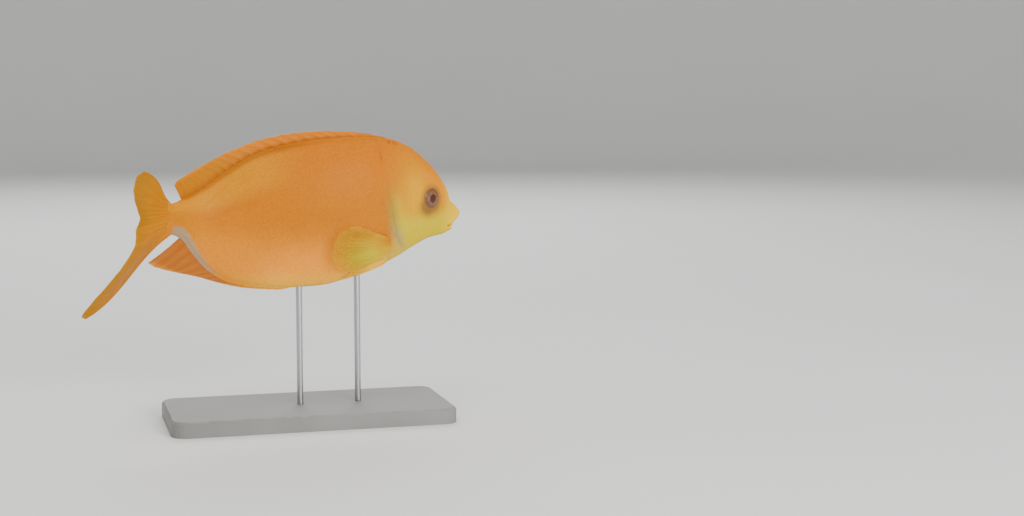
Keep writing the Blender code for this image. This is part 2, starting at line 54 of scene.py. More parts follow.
HEADING = ((0, 21), (0.22, 20), (0.38, 9), (0.55, 0), (0.68, 1), (0.8, 9), (0.88, 21), (0.945, 36),
           (1, 46), (1.3, 46))
BACK = ((0, -0.012), (0.008, 0.003), (0.036, 0.0286), (0.049, 0.0677), (0.088, 0.1204), (0.14, 0.171),
        (0.2, 0.212), (0.27, 0.238), (0.38, 0.246), (0.5, 0.24), (0.6, 0.227), (0.7, 0.2),
        (0.8, 0.144), (0.88, 0.093), (0.94, 0.068), (1, 0.06))
BELLY = ((0, -0.022), (0.012, -0.046), (0.05, -0.086), (0.11, -0.0955), (0.17, -0.117), (0.24, -0.149),
         (0.31, -0.176), (0.4, -0.204), (0.5, -0.227), (0.6, -0.231), (0.7, -0.224), (0.79, -0.205),
         (0.86, -0.164), (0.92, -0.1), (0.96, -0.052), (1, -0.036))
HALF_WIDTH = ((0, 0.01), (0.012, 0.02), (0.04, 0.027), (0.09, 0.042), (0.14, 0.054), (0.21, 0.066),
              (0.29, 0.076), (0.4, 0.083), (0.52, 0.08), (0.65, 0.067), (0.77, 0.047), (0.87, 0.029),
              (0.94, 0.019), (1, 0.014))
WIDEST_LEVEL = 0.5
SECTION_POWER = 1.18
HEAD_SPAN, HEAD_ROWS, TRUNK_ROWS, AROUND = 0.32, 176, 116, 300
SHEATH_ROWS, SHEATH_REACH = 14, 0.13

# Rear edges of the gill cover and of the cheek, as (height, share of the length)
GILL_EDGE = ((-0.2, 0.16), (-0.16, 0.195), (-0.12, 0.23), (-0.097, 0.251), (-0.05, 0.276), (0, 0.291),
             (0.036, 0.296), (0.086, 0.3), (0.15, 0.29), (0.26, 0.262))
CHEEK_EDGE = ((-0.13, 0.15), (-0.1, 0.168), (-0.07, 0.186), (-0.03, 0.203), (0.02, 0.213), (0.07, 0.214),
              (0.12, 0.208))

# The lateral line: shares of the length and how far round from the back it runs there, then its ridge
LATERAL_LINE = ((0.25, 0.4, 0.6, 0.8, 0.92, 1), (0.085, 0.06, 0.056, 0.05, 0.046, 0.046))
LATERAL_START, LATERAL_RISE, LATERAL_WIDTH = (0.285, 0.31), 0.0006, 0.0022

EYE_PLACE = (0.14, 0.0375, 0.042)
EYE_LEAN = math.radians(12)
EYE_RADIUS, EYE_RISE, EYE_RIM_OUT, EYE_LENS_RISE = 0.0312, 0.0235, 0.0152, 0.001
EYE_RING_RADII, EYE_RING_RISES = (0.975, 1, 1.025, 1.04, 1.045), (0.0002, 0.0004, 0.0002, -0.0006, -0.0016)
EYE_SIDES, EYE_CAP_ROWS, EYE_REAR_ROWS = 72, 30, 14
SOCKET_REACH, SOCKET_OUT = 0.06, 0.0045
NOSTRIL_PLACES = ((0.079, 0.044), (0.093, 0.052))

# Where the skin's rows and columns crowd together, as (middle, width, strength)
HEAD_CROWDS = ((0, 0.03, 3), (EYE_PLACE[0], 0.03, 2.6), (0.29, 0.015, 1))
TURN_CROWDS = ((math.radians(86), 0.2, 1.2), (math.radians(135), 0.3, 0.5))

# Each lip's line, as (share, its sweep, half width, height, its sweep), and the lip's own height and radius
LIPS = (((0.004, 0.042, 0.024, -0.018, -0.038), 0.0062, 0.0145),
        ((0.034, 0.018, 0.019, -0.071, 0.008), 0.0052, 0.0125))
# The mouth's half opening and depth: at its corners, and what its middle adds
MOUTH_OPEN, MOUTH_DEPTH = (0.0014, 0.003), (0.0045, 0.004)

# Folds of the skin: how far they stand out, and how wide they are
COVER_RISE, COVER_WIDTH = 0.0016, 0.035
CHEEK_RISE, CHEEK_WIDTH = 0.0008, 0.03
PECTORAL_PAD, PELVIC_PAD = (0.005, 0.014), (0.003, 0.012)
PAD_PLACE, PAD_REACH = 0.295, 0.05
RIDGE_RISE, RIDGE_WIDTH = 0.003, 0.0055

DORSAL_SPINES, DORSAL_SOFT = 13, 10
DORSAL_ROOTS = (0.275, 0.715, 0.745, 0.955)
DORSAL_TIPS = ((0.275, 0.333, 0.248), (0.32, 0.388, 0.261), (0.42, 0.486, 0.2685), (0.52, 0.578, 0.264),
               (0.62, 0.685, 0.245), (0.715, 0.78, 0.2125), (0.745, 0.812, 0.198), (0.82, 0.885, 0.165),
               (0.89, 0.942, 0.139), (0.955, 0.994, 0.121))
ANAL_SPINES, ANAL_SOFT = 7, 9
ANAL_ROOTS = (0.6, 0.765, 0.79, 0.965)
ANAL_TIPS = ((0.6, 0.653, -0.2345), (0.7, 0.755, -0.2235), (0.765, 0.816, -0.208),
             (0.81, 0.862, -0.1925), (0.85, 0.918, -0.1745), (0.89, 0.985, -0.156),
             (0.93, 1.06, -0.1335), (0.965, 1.128, -0.109))
MEDIAN_BOW = 0.004

TAIL_RAYS = 17
TAIL_HEADING_DEG, TAIL_DROOP_DEG, TAIL_TWIST_DEG = 48, -0.3, 38.5
LOWER_SPREAD_DEG, UPPER_SPREAD_DEG = 42.3, 37
TAIL_HUB_UP = 0.012
TAIL_ROOT_UP = (-0.034, 0.058)
TAIL_LENGTHS = ((0, 0.1656), (0.25, 0.181), (0.5, 0.24), (0.7, 0.328), (0.82, 0.385), (0.92, 0.413),
                (1, 0.403))
TAIL_LEAVE, TAIL_SWEEP = 1.12, 0.57
TAIL_CUP = ((-1, -0.095), (-0.75, -0.0865), (-0.4, -0.05), (0, 0), (1, 0))

PECTORAL_RAYS = 15
PECTORAL_ROOT = ((0.29, -0.075), (0.3, -0.118))
PECTORAL_FAN = ((0, 25, 0.15), (0.15, 19, 0.182), (0.35, 10, 0.2), (0.55, 0, 0.2), (0.8, -12, 0.18),
                (1, -24, 0.13))
PECTORAL_OFF_DEG = (46, 15, 8)
PELVIC_RAYS = 5
PELVIC_ROOT = ((0.292, 172), (0.3, 150))
PELVIC_FAN = ((0, 0.1, 172), (0.25, 0.135, 168), (0.5, 0.145, 163), (0.75, 0.14, 157),
              (1, 0.112, 150))
PELVIC_OFF_DEG = (8, 0.5)
PECTORAL_BEND, PELVIC_BEND, PAIRED_FIN_FOOT = 0.02, 0.015, 0.001
PECTORAL_WAVE = 0.0022

# The base's bands of x, y and z where its paint is rubbed
RUBBED_X, RUBBED_Y, RUBBED_Z = (0.0868, 0.0885), (0.0398, 0.0415), (0.0084, 0.01)
FLOOR_SIDES, FLOOR_RADIUS, FLOOR_CURVE, WALL_TOP = 96, 3, 1.2, 3.2
SENSOR_WIDTH, NEAR_CLIP, WORLD_STRENGTH = 36, 0.02, 0.43


# The fish's shape

def through(points):
    """A function for the smooth curve through (place, value) points: cubics that never overshoot them."""
    place, value = np.array(points, float).T
    step = np.diff(place)
    slope = np.diff(value) / step
    same_way = slope[1:] * slope[:-1] > 0
    total = np.where(same_way, slope[1:] + slope[:-1], 1)
    inner = np.where(same_way, 2 * slope[1:] * slope[:-1] / total, 0)
    tangent = np.concatenate([slope[:1], inner, slope[-1:]])

    def curve(x):
        x = np.clip(np.asarray(x, float), place[0], place[-1])
        i = np.clip(np.searchsorted(place, x, side="right") - 1, 0, len(step) - 1)
        t = (x - place[i]) / step[i]
        rise = value[i + 1] - value[i]
        start, end = tangent[i] * step[i], tangent[i + 1] * step[i]
        return value[i] + t * (start + t * (3 * rise - 2 * start - end + t * (start + end - 2 * rise)))

    return curve


def curves(rows):
    """A smooth curve for each column after the first, which holds the places."""
    return [through([(row[0], row[column]) for row in rows]) for column in range(1, len(rows[0]))]


heading, back, belly, half_width = map(through, (HEADING, BACK, BELLY, HALF_WIDTH))
gill_edge, cheek_edge, tail_length, tail_cup = map(through, (GILL_EDGE, CHEEK_EDGE, TAIL_LENGTHS, TAIL_CUP))

AXIS_STEPS = np.linspace(0, 1.3, 521)
AXIS_WAY = np.radians(heading(AXIS_STEPS))
AXIS_STEP = LENGTH * (AXIS_STEPS[1] - AXIS_STEPS[0])
AXIS_X = AXIS_START[0] - np.concatenate([[0], np.cumsum(np.cos(AXIS_WAY[1:]) * AXIS_STEP)])
AXIS_Y = AXIS_START[1] - np.concatenate([[0], np.cumsum(np.sin(AXIS_WAY[1:]) * AXIS_STEP)])


def smooth(x, low, high):
    """0 below low, 1 above high, and 3t^2 - 2t^3 between, with t the share of the way."""
    t = np.clip((x - low) / (high - low), 0, 1)
    return t * t * (3 - 2 * t)


def stacked(*arrays):
    """The arrays side by side along a new last axis."""
    return np.stack(arrays, axis=-1)


def bell(x, width):
    """exp(-(x / width)^2)."""
    return np.exp(-(x / width) ** 2)


def mound(gap, radius):
    """1 at no gap, smoothly down to 0 at the radius."""
    return np.clip(1 - (gap / radius) ** 2, 0, 1) ** 2


def in_body(share, side, up):
    """The point at a place on the fish before it rolls: along the bent axis, out along its normal, up."""
    share, side, up = np.broadcast_arrays(*(np.asarray(v, float) for v in (share, side, up)))
    way = np.radians(heading(np.maximum(share, 0)))
    ahead = LENGTH * np.maximum(-share, 0)
    x = np.interp(share, AXIS_STEPS, AXIS_X) + ahead * np.cos(way) - side * LENGTH * np.sin(way)
    y = np.interp(share, AXIS_STEPS, AXIS_Y) + ahead * np.sin(way) + side * LENGTH * np.cos(way)
    return stacked(x, y, up * LENGTH)


def placed(points):
    """The points rolled about X and lifted to the height of the fish's axis."""
    roll = math.radians(ROLL_DEG)
    x, y, z = np.moveaxis(points, -1, 0)
    return stacked(x, y * math.cos(roll) - z * math.sin(roll),
                   AXIS_HEIGHT + y * math.sin(roll) + z * math.cos(roll))


def levels(share):
    """The heights of the back, of where the body is widest, and of the belly."""
    top, bottom = back(share), belly(share)
    return top, bottom + WIDEST_LEVEL * (top - bottom), bottom


def section(share, turn):
    """Side and height of the skin: half width times |sin|^power, and the half height times cos."""
    top, middle, bottom = levels(share)
    rise = np.where(np.cos(turn) > 0, top - middle, middle - bottom)
    side = half_width(share) * np.sign(np.sin(turn)) * np.abs(np.sin(turn)) ** SECTION_POWER
    return side, middle + rise * np.cos(turn)


def skin_off(share, turn, lift):
    """A point lifted off the left flank at right angles to its section."""
    step = 0.01
    side, up = section(share, turn)
    ahead_side, ahead_up = section(share, turn + step)
    behind_side, behind_up = section(share, turn - step)
    slope_side, slope_up = ahead_side - behind_side, ahead_up - behind_up
    size = np.hypot(slope_side, slope_up)
    return side - lift * slope_up / size, up + lift * slope_side / size


def turn_at(share, up):
    """The turn round the left flank at which the skin is at that height."""
    top, middle, bottom = levels(share)
    rise = np.where(up > middle, top - middle, middle - bottom)
    return np.arccos(np.clip((up - middle) / rise, -1, 1))


def toward(angle, way, up):
    """cos(angle) times the way plus sin(angle) times up."""
    return np.cos(angle)[..., None] * way + np.sin(angle)[..., None] * up


def tail_directions():
    """Unit vectors of the spread tail: backward, and up from its lower lobe to its upper, twisted."""
    turn, droop, twist = (math.radians(v) for v in (TAIL_HEADING_DEG, TAIL_DROOP_DEG, TAIL_TWIST_DEG))
    back_way = np.array([-math.cos(turn), -math.sin(turn), 0])
    way = math.cos(droop) * back_way - np.array([0, 0, math.sin(droop)])
    level = math.sin(droop) * back_way + np.array([0, 0, math.cos(droop)])
    return way, math.cos(twist) * level - math.sin(twist) * np.cross(level, -way)


def tail_surface(number, along):
    """A cubic curve for each ray, from the stem's rear face into the tail's twisted, cupped plane."""
    across = 2 * number / (TAIL_RAYS - 1) - 1
    angle = np.radians(np.where(across < 0, LOWER_SPREAD_DEG, UPPER_SPREAD_DEG)) * across
    root = in_body(1, 0, TAIL_ROOT_UP[0] + (across + 1) / 2 * (TAIL_ROOT_UP[1] - TAIL_ROOT_UP[0]))
    hub = in_body(1, 0, TAIL_HUB_UP)
    stem_way = (in_body(1.1, 0, 0) - in_body(1, 0, 0)) / (0.1 * LENGTH)
    way, up = tail_directions()
    length, t = LENGTH * tail_length(np.abs(across))[..., None], along[..., None]
    cup = LENGTH * tail_cup(across)[..., None] * np.cross(way, up)
    tip = hub + length * toward(angle, way, up) + cup
    near = root + 0.1 * length * stem_way + 0.26 * length * toward(TAIL_LEAVE * angle, way, up)
    beyond = tip - 0.36 * length * toward(TAIL_SWEEP * angle, way, up)
    return (1 - t) ** 3 * root + 3 * t * (1 - t) ** 2 * near + 3 * t ** 2 * (1 - t) * beyond + t ** 3 * tip


def median_surface(roots, counts, tips, edge, away, sway):
    """A sheet of rays from the back or belly to their tips, bowed a little and swaying in slow waves."""
    spines, soft = counts
    tip_share, tip_up = curves(tips)

    def surface(number, along):
        root = np.interp(number, (0, spines - 1, spines, spines + soft - 1), roots)
        bow = away * MEDIAN_BOW * 4 * along * (1 - along)
        up = edge(root) + (tip_up(root) - edge(root)) * along + bow
        wave = sway * np.maximum(along, 0) ** 1.5 * np.sin(0.75 * number + 0.6)
        return in_body(root + (tip_share(root) - root) * along, wave, up)

    return surface


def bent_over(out, bend, first_off, last_off):
    """How far off the flank, and how far back, a ray is at a length, when it bends over near its root."""
    bent = np.minimum(out, bend)
    first = bent - bent ** 2 / (2 * bend)
    last = bent ** 2 / (2 * bend) + np.maximum(out - bend, 0)
    off = PAIRED_FIN_FOOT + math.sin(first_off) * first + np.sin(last_off) * last
    return off, math.cos(first_off) * first + np.cos(last_off) * last


def pectoral_surface(side_sign):
    """Rays fanned from a short root on the flank, which bend back to lie a little off the body."""
    angle_at, length_at = curves(PECTORAL_FAN)
    root_off, upper_off, lower_off = np.radians(PECTORAL_OFF_DEG)
    (top_share, top_up), (low_share, low_up) = PECTORAL_ROOT

    def surface(number, along):
        place = number / (PECTORAL_RAYS - 1)
        angle = np.radians(angle_at(place))
        end_off = upper_off + (lower_off - upper_off) * place
        lift, back_way = bent_over(length_at(place) * along, PECTORAL_BEND, root_off, end_off)
        lift = lift + PECTORAL_WAVE * np.maximum(along, 0) * np.sin(1.3 * number)
        share = top_share + (low_share - top_share) * place + back_way * np.cos(angle)
        up = top_up + (low_up - top_up) * place + back_way * np.sin(angle)
        side, height = skin_off(share, turn_at(share, up), lift)
        return in_body(share, side_sign * side, height)

    return surface


def pelvic_surface(side_sign):
    """Rays from a short root beside the belly's keel, which lie back along it."""
    length_at, turn_end = curves(PELVIC_FAN)
    root_off, end_off = np.radians(PELVIC_OFF_DEG)
    (first_share, first_turn), (last_share, last_turn) = PELVIC_ROOT

    def surface(number, along):
        place = number / (PELVIC_RAYS - 1)
        out = length_at(place) * along
        lift, _ = bent_over(out, PELVIC_BEND, root_off, end_off)
        share = first_share + (last_share - first_share) * place + out
        root_turn = first_turn + (last_turn - first_turn) * place
        side, up = skin_off(share, np.radians(root_turn * (1 - along) + turn_end(place) * along), lift)
        return in_body(share, side_sign * side, up)

    return surface


# Meshes

def add(name, data):
    """A new object of the data, in the scene."""
    thing = bpy.data.objects.new(name, data)
    bpy.context.scene.collection.objects.link(thing)
    return thing


def grid_faces(rows, columns, ring=False):
    """Four-cornered faces between the rows of a grid, round each row where it is a ring."""
    row, column = np.meshgrid(np.arange(rows - 1), np.arange(columns if ring else columns - 1), indexing="ij")
    after = (column + 1) % columns
    return stacked(row * columns + column, row * columns + after,
                   (row + 1) * columns + after, (row + 1) * columns + column).reshape(-1, 4)


def fan_faces(ring, middle):
    """Triangles from each side of a ring to a point in its middle."""
    return stacked(ring, np.roll(ring, -1), np.full_like(ring, middle))


def make_piece(name, points, faces, finish, slot, replaced, sharp_deg=180, **values):
    """A closed mesh, its faces turned outwards, which rides on the root and carries the values."""
    turned = [np.asarray(f) for f in faces]
    loose = np.concatenate([np.concatenate([f[:, [0, k, k + 1]] for k in range(1, f.shape[1] - 1)])
                            for f in turned])
    a, b, c = (points[loose[:, i]] - points.mean(axis=0) for i in range(3))
    if np.einsum("ij,ij->i", a, np.cross(b, c)).sum() < 0:
        turned = [f[:, ::-1] for f in turned]
    corners = np.concatenate([f.ravel() for f in turned])
    sizes = np.concatenate([np.full(len(f), f.shape[1]) for f in turned])
    mesh = bpy.data.meshes.new(name)
    mesh.vertices.add(len(points))
    mesh.vertices.foreach_set("co", points.astype(np.float32).ravel())
    mesh.loops.add(len(corners))
    mesh.loops.foreach_set("vertex_index", corners.astype(np.int32))
    mesh.polygons.add(len(sizes))
    mesh.polygons.foreach_set("loop_start", (np.cumsum(sizes) - sizes).astype(np.int32))
    mesh.update(calc_edges=True)
    mesh.validate()
    mesh.shade_smooth()
    if sharp_deg < 180:
        mesh.set_sharp_from_angle(angle=math.radians(sharp_deg))
    for key, value in values.items():
        data = mesh.attributes.new(key, "FLOAT", "POINT").data
        data.foreach_set("value", np.ravel(value).astype(np.float32))
    mesh.materials.append(finish)
    thing = add(name, mesh)
    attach(thing, "root")
    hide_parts(*replaced)


def near_line(places, line):
    """Distance from each place to the nearest point of a line of places, and that point's number."""
    gap = np.linalg.norm(places[..., None, :] - line, axis=-1)
    return gap.min(axis=-1), gap.argmin(axis=-1)


def mouth_lines():
    """The lips and the line between them, each a U from corner to corner."""
    swing = np.linspace(-1, 1, 81)
    bow, wide = 1 - np.cos(swing * math.pi / 2), np.sin(swing * math.pi / 2)
    lips = [stacked(share + sweep * bow, side * wide, up + lift * bow)
            for (share, sweep, side, up, lift), _, _ in LIPS]
    share, up = 0.0155 + 0.034 * bow, -0.0495 - 0.01 * bow
    side = section(share, turn_at(share, up))[0] * np.sign(swing)
    return swing, lips, stacked(share, side, up)


def head_relief(places):
    """How far the head stands out of its plain section, and the mouth's depth."""
    swing, lips, slit = mouth_lines()
    taper, middle = 1 - 0.5 * swing ** 2, 1 - swing ** 2
    relief = np.zeros(places.shape[:-1])
    for line, (_, rise, radius) in zip(lips, LIPS):
        gap, at = near_line(places, line)
        relief = relief + rise * taper[at] * mound(gap, radius * taper[at])
    gap, at = near_line(places, slit)
    open_half = (MOUTH_OPEN[0] + MOUTH_OPEN[1] * middle)[at]
    inner = 1 - smooth(gap, 0.2 * open_half, 1.6 * open_half + 0.0016)
    relief = relief - inner * (MOUTH_DEPTH[0] + MOUTH_DEPTH[1] * middle)[at]
    corner = np.minimum(*(np.linalg.norm(places - slit[end] - [0.006, 0, 0], axis=-1) for end in (0, -1)))
    relief = relief - 0.0016 * bell(corner, 0.006)
    for share, up in NOSTRIL_PLACES:
        side = float(section(share, turn_at(share, up))[0])
        for sign in (1, -1):
            gap = np.linalg.norm(places - [share, sign * side, up], axis=-1)
            relief = relief - 0.006 * bell(gap, 0.0036) + 0.0012 * bell(gap - 0.0056, 0.002)
    return relief, inner


def root_lines():
    """The left pectoral and pelvic fins' roots as lines of places, with their pads' rise and radius."""
    share, up = np.linspace(*PECTORAL_ROOT, 25).T
    side = section(share, turn_at(share, up))[0]
    yield stacked(share + 0.002, side, up), *PECTORAL_PAD
    share = np.linspace(0.29, 0.302, 12)
    side, up = section(share, np.radians(np.linspace(172, 150, 12)))
    yield stacked(share, side, up), *PELVIC_PAD


def eye_frame(places):
    """A place as seen from its eye: forward to back along the eye's face, outwards, and up."""
    cos, sin = math.cos(EYE_LEAN), math.sin(EYE_LEAN)
    back_way, out = places[..., 0] - EYE_PLACE[0], np.abs(places[..., 1]) - EYE_PLACE[1]
    return back_way * cos + out * sin, -back_way * sin + out * cos, places[..., 2] - EYE_PLACE[2]


def eye_place(along, out, up, sign):
    """The place on the fish of a point given from its eye."""
    cos, sin = math.cos(EYE_LEAN), math.sin(EYE_LEAN)
    share, side = EYE_PLACE[0] + along * cos - out * sin, EYE_PLACE[1] + along * sin + out * cos
    return stacked(share, sign * side, EYE_PLACE[2] + up)


def crowded(low, high, count, crowds):
    """Places from low to high, spaced by 1 / (1 + the sum of strength * bell) about each crowd's middle."""
    fine = np.linspace(low, high, 4001)
    density = 1 + sum(strength * bell(fine - middle, width) for middle, width, strength in crowds)
    total = np.concatenate([[0], np.cumsum((density[1:] + density[:-1]) / 2)])
    return np.interp(np.linspace(0, total[-1], count + 1), total, fine)


def skin_shape():
    """Rings from the snout to the tail's root, then a sheath that thins out over the tail fin's rays.

    Each ring is the fish's section, moved along its own normal by the relief, in places on the fish.
    Round the eye the skin is sunk, to make its socket. Returns points before the roll, and values.
    """
    head = crowded(0, HEAD_SPAN, HEAD_ROWS, HEAD_CROWDS)[1:]
    trunk = np.linspace(HEAD_SPAN, 1, TRUNK_ROWS + 1)[1:]
    share = np.concatenate([head, trunk])[:, None]
    half_turn = crowded(0, math.pi, AROUND // 2, TURN_CROWDS)
    turn = np.concatenate([half_turn, 2 * math.pi - half_turn[-2:0:-1]])
    side, up = section(share, turn)
    places = np.stack(np.broadcast_arrays(share, side, up), axis=-1).copy()

    def around(values):
        return (np.roll(values, -1, axis=1) - np.roll(values, 1, axis=1)) / 2

    normal = np.cross(around(places), np.gradient(places, axis=0))
    normal /= np.linalg.norm(normal, axis=-1, keepdims=True)
    normal *= np.sign(np.einsum("ijk,ijk->ij", normal, places * [0, 1, 1]).mean())

    relief, inner = np.zeros(places.shape[:2]), np.zeros(places.shape[:2])
    near = int((share < 0.15).sum())
    relief[:near], inner[:near] = head_relief(places[:near])
    flank = np.abs(np.sin(turn)) ** 0.5
    tall, depth = places[..., 2], back(share) - belly(share)
    ahead = gill_edge(tall) - share
    cover = np.where(ahead > 0, np.clip(1 - ahead / COVER_WIDTH, 0, 1) ** 2, 0) * COVER_RISE
    groove = -COVER_RISE * bell(ahead + 0.0045, 0.0045) * (ahead < 0.001)
    level = (tall - belly(share)) / depth
    low_part = smooth(level, 0, 0.12) * (1 - smooth(tall, 0.035, 0.095))
    relief += (cover * smooth(ahead, -0.003, 0.002) + groove) * flank * low_part
    cheek = cheek_edge(tall) - share
    inside = smooth(tall, -0.125, -0.105) * (1 - smooth(tall, 0.085, 0.12))
    fold = np.where(cheek > 0, np.clip(1 - cheek / CHEEK_WIDTH, 0, 1) ** 2, bell(cheek, 0.0035))
    relief += CHEEK_RISE * inside * fold * flank
    relief -= 0.0006 * inside * bell(cheek + 0.006, 0.004) * flank

    steps_round = np.diff(places[:, :, 1:], axis=1, prepend=places[:, :1, 1:])
    girth = np.cumsum(np.linalg.norm(steps_round, axis=-1), axis=1)
    girth = np.minimum(girth, girth[:, -1:] + girth[:, 1:2] - girth)
    lateral = girth - np.interp(share[:, 0], *LATERAL_LINE)[:, None]
    relief += LATERAL_RISE * bell(lateral, LATERAL_WIDTH) * smooth(share, *LATERAL_START)

    part = np.abs(share[:, 0] - PAD_PLACE) < PAD_REACH
    for line, rise, radius in root_lines():
        for sign in (1, -1):
            relief[part] += rise * mound(near_line(places[part], line * [1, sign, 1])[0], radius)

    for roots, edge_level in ((DORSAL_ROOTS, 1), (ANAL_ROOTS, 0)):
        inside = smooth(share, roots[0] - 0.01, roots[0] + 0.02)
        inside = inside * (1 - smooth(share, roots[3], roots[3] + 0.02))
        off_ridge = np.hypot(places[..., 1], (level - edge_level) * depth)
        groove = 0.0005 * bell(off_ridge - 0.011, 0.0045)
        relief += inside * (RIDGE_RISE * bell(off_ridge, RIDGE_WIDTH) - groove)

    places = places + relief[..., None] * normal
    along, out, high = eye_frame(places)
    radial = np.hypot(along, high)
    by_eye = radial < SOCKET_REACH
    level_rim = EYE_RIM_OUT - 0.0002
    out = out + (level_rim - out) * (1 - smooth(radial, 0.033, 0.048)) * by_eye
    rim = 0.0008 * bell(radial - 0.0385, 0.004)
    sunk = out + (SOCKET_OUT - out) * (1 - smooth(radial, 0.0288, 0.0316)) * by_eye
    row, column = np.nonzero((share < 0.2) & by_eye)
    places[row, column] = eye_place(along[row, column], (sunk + rim)[row, column], high[row, column],
                                    np.sign(places[row, column, 1]))

    points = in_body(*np.moveaxis(places, -1, 0))
    steps = np.linspace(0, SHEATH_REACH, SHEATH_ROWS + 1)[1:, None]
    number = (np.cos(turn) * 1.02 + 1) / 2 * (TAIL_RAYS - 1) + 0 * steps
    middle = tail_surface(number, steps + 0 * number)
    ahead_way = tail_surface(number, steps + 0.01 + 0 * number) - middle
    up_way = tail_surface(number + 0.05, steps + 0 * number) - middle
    face = np.cross(ahead_way, up_way)
    face /= np.linalg.norm(face, axis=-1, keepdims=True)
    thick = np.maximum(np.cos(steps / SHEATH_REACH * math.pi / 2) ** 0.9, 0.03)
    half = half_width(1) * np.sign(np.sin(turn)) * np.abs(np.sin(turn)) ** SECTION_POWER * thick
    sheath = middle + LENGTH * half[..., None] * face
    last = points[-1]
    blend = smooth(steps, 0, 0.05)[..., None]
    straight = last + (last - points[-2]) * (np.arange(1, SHEATH_ROWS + 1) * 0.4)[:, None, None]
    sheath = straight * (1 - blend) + sheath * blend
    far = 1 + steps * 0.3 + 0 * number
    tip = in_body(-0.0015, 0, -0.0175)[None]
    points = np.concatenate([points.reshape(-1, 3), sheath.reshape(-1, 3), tip])

    def joined(values, on_sheath, at_tip):
        return np.concatenate([np.ravel(values), np.ravel(on_sheath), [at_tip]])

    whole = np.ones_like(number)
    hand = np.where(turn < math.pi, 1, -1)
    values = {
        "share": joined(share + 0 * level, far, 0),
        "level": joined(level, 0.5 + 0.5 * np.cos(turn) + 0 * number, 0.5),
        "height": joined(places[..., 2], 0.012 + 0.048 * np.cos(turn) + 0 * number, -0.017),
        "girth": joined(girth * hand, girth[-1] * hand * whole, 0),
        "ahead": joined(ahead, -0.7 * whole, 0.29),
        "eye_off": joined(radial, whole, 1),
        "inner": joined(inner, 0 * whole, 0),
        "lateral": joined(lateral, whole, 1),
    }
    return points, values


# Finishes

class Value:
    """A number on a socket. Sums, products and powers of it add Math nodes."""

    def __init__(self, shop, socket):
        self.shop, self.socket = shop, socket

    def math(self, operation, *parts):
        return Value(self.shop, self.shop.node("Math", {"operation": operation}, dict(enumerate(parts)), 0))

    def __add__(self, other): return self.math("ADD", self, other)
    def __sub__(self, other): return self.math("SUBTRACT", self, other)
    def __rsub__(self, other): return self.math("SUBTRACT", other, self)
    def __mul__(self, other): return self.math("MULTIPLY", self, other)
    def __pow__(self, other): return self.math("POWER", self, other)
    def __abs__(self): return self.math("ABSOLUTE", self)
    __radd__, __rmul__ = __add__, __mul__

    def rise(self, low, high):
        """0 below low and 1 above high, smooth between."""
        inputs = {"Value": self, "From Min": low, "From Max": high}
        way = {"interpolation_type": "SMOOTHSTEP"}
        return Value(self.shop, self.shop.node("MapRange", way, inputs, "Result"))

    def fall(self, low, high):
        return 1 - self.rise(low, high)


class Finish:
    """A material around one Principled shader, whose constant sockets are set at once."""

    def __init__(self, name, **constants):
        self.material = bpy.data.materials.new(name)
        self.material.use_nodes = True
        self.tree = self.material.node_tree
        self.shader = self.tree.nodes["Principled BSDF"]
        for socket, value in constants.items():
            self.shader.inputs[socket.replace("_", " ")].default_value = value

    def node(self, kind, settings, inputs, output):
        """A new node's output: its settings are made first, then each socket's value or link."""
        node = self.tree.nodes.new("ShaderNode" + kind)
        for key, value in settings.items():
            setattr(node, key, value)
        for key, value in inputs.items():
            self.feed(node.inputs[key], value)
        return node.outputs[output]

    def feed(self, socket, value):
        value = value.socket if isinstance(value, Value) else value
        if isinstance(value, bpy.types.NodeSocket):
            self.tree.links.new(value, socket)
        elif isinstance(value, tuple) and len(value) == 3 and socket.type == "RGBA":
            socket.default_value = (*value, 1)
        else:
            socket.default_value = value

    def value(self, name):
        """A value that the mesh carries."""
        return Value(self, self.node("Attribute", {"attribute_name": name}, {}, "Fac"))

    def point(self, x, y, z=0):
        return self.node("CombineXYZ", {}, {"X": x, "Y": y, "Z": z}, "Vector")

    def where(self):
        return self.node("TexCoord", {}, {}, "Object")

    def parts(self, vector):
        return [Value(self, self.node("SeparateXYZ", {}, {"Vector": vector}, axis)) for axis in "XYZ"]

    def noise(self, vector, scale, detail=3, rough=0.5):
        """Noise from 0 to 1 with its middle at a half."""
        inputs = {"Vector": vector, "Scale": scale, "Detail": detail, "Roughness": rough}
        return Value(self, self.node("TexNoise", {}, inputs, "Fac"))

    def cells(self, vector, scale, random):
        """The distance from the middle of the nearest cell, whose places are random to a share."""
        inputs = {"Vector": vector, "Scale": scale, "Randomness": random}
        return Value(self, self.node("TexVoronoi", {}, inputs, "Distance"))

    def mix(self, first, second, share, way="MIX"):
        """The first colour turned into the second by a share."""
        inputs = {"Factor": share, 6: first, 7: second}
        return self.node("Mix", {"data_type": "RGBA", "blend_type": way}, inputs, 2)

    def over(self, tone, share):
        """Turns the colour so far into a tone by a share."""
        self.colour = self.mix(self.colour, tone, share)

    def shade(self, tone, share):
        """Darkens the colour so far by a share, towards its product with a tone."""
        self.over(self.mix(self.colour, tone, 1, "MULTIPLY"), share)

    def bump(self, height, distance, strength, under=None):
        inputs = {"Height": height, "Distance": distance, "Strength": strength}
        if under is not None:
            inputs["Normal"] = under
        return self.node("Bump", {}, inputs, "Normal")

    def done(self, roughness=None, normal=None, coat=None):
        fed = {"Base Color": self.colour, "Roughness": roughness, "Normal": normal, "Coat Weight": coat}
        for socket, value in fed.items():
            if value is not None:
                self.feed(self.shader.inputs[socket], value)
        return self.material


def tint(red, green, blue):
    """A colour seen on a screen, as the light that it stands for."""
    seen = np.array([red, green, blue]) / 255
    return tuple(float(v) for v in np.where(seen < 0.04045, seen / 12.92, ((seen + 0.055) / 1.055) ** 2.4))


